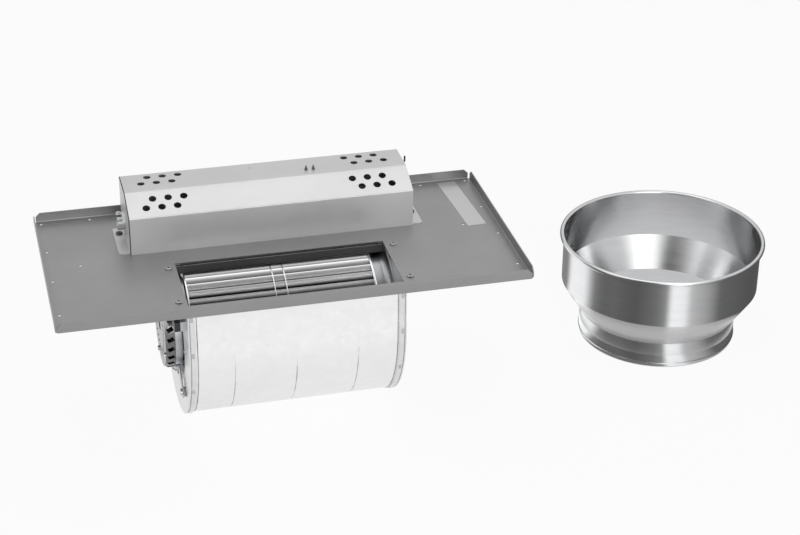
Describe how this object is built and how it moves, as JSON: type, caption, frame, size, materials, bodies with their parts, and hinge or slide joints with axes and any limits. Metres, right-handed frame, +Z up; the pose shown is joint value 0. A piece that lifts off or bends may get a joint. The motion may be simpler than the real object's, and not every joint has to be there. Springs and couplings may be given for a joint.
{
  "type": "internal blower module with duct reducer",
  "caption": "Internal blower for a range hood: tray plate with control box on top, double-inlet scroll blower with its motor below, and a separate round duct reducer.",
  "frame": {"origin": "middle of the mounting plate's top face", "axes": "+X along the plate's long side, from the motor towards the duct reducer; +Y towards the control box at the back; +Z up out of the outlet"},
  "size_m": [0.9255, 0.3177, 0.2743],
  "materials": {
    "plate_paint": "satin grey",
    "box_paint": "satin light grey",
    "foil": "satin",
    "galvanised": "bright zinc",
    "zinc_plated": "zinc plated",
    "motor_steel": "plated",
    "core_steel": "laminated",
    "wheel_steel": "bright zinc",
    "reducer_steel": "brushed",
    "copper": "enamelled",
    "bronze": "sintered",
    "black_plastic": "matte",
    "white_plastic": "matte",
    "black_rubber": "matte",
    "board": "satin"
  },
  "bodies": {
    "housing": {"mounting_plate": "plate_paint", "rating_label": "foil", "box_cover": "box_paint", "box_end_left": "box_paint", "box_end_right": "box_paint", "box_foot_screws": "zinc_plated", "cover_screws": "zinc_plated", "cable_clamp_body": "galvanised", "cable_clamp_locknut": "galvanised", "cable_clamp_bar": "galvanised", "end_bushing": "white_plastic", "wire_tail": "black_rubber", "control_board": "board", "board_standoffs": "white_plastic", "transformer_core": "core_steel", "transformer_coil": "copper", "run_capacitor": "black_plastic", "capacitor_clip": "zinc_plated", "clip_rivets": "zinc_plated", "terminal_block": "white_plastic", "terminal_screws": "zinc_plated", "scroll_wrapper": "galvanised", "scroll_side_left": "galvanised", "scroll_side_right": "galvanised", "inlet_ring_left": "galvanised", "inlet_ring_right": "galvanised", "cutoff_lip": "galvanised", "rim_clips": "galvanised", "outlet_screws": "zinc_plated", "inlet_rivets": "zinc_plated", "motor_shell": "motor_steel", "motor_outer_bell": "motor_steel", "motor_inner_bell": "motor_steel", "motor_bearings": "bronze", "stator_core": "core_steel", "stator_windings": "copper", "motor_bolts": "zinc_plated", "belly_band": "zinc_plated", "band_clamp_bolt": "zinc_plated", "mount_arms": "zinc_plated", "mount_grommets": "black_rubber", "arm_screws": "zinc_plated", "motor_plug": "black_plastic", "plug_socket": "zinc_plated", "motor_lead": "black_rubber", "supply_lead": "black_rubber", "lead_grommet": "black_rubber", "reducer_large_collar": "reducer_steel", "reducer_cone": "reducer_steel", "reducer_small_collar": "reducer_steel"},
    "wheel": {"motor_shaft": "zinc_plated", "rotor_core": "core_steel", "wheel_hub": "zinc_plated", "hub_set_screw": "zinc_plated", "wheel_discs": "wheel_steel", "wheel_end_rings": "wheel_steel", "blades_left": "wheel_steel", "blades_centre": "wheel_steel", "blades_right": "wheel_steel"}
  },
  "joints": [
    {"name": "wheel_spin", "type": "hinge", "parent": "housing", "child": "wheel", "pos_m": [0, -0.0018, -0.0825], "axis": [-1, 0, 0], "continuous": true}
  ]
}
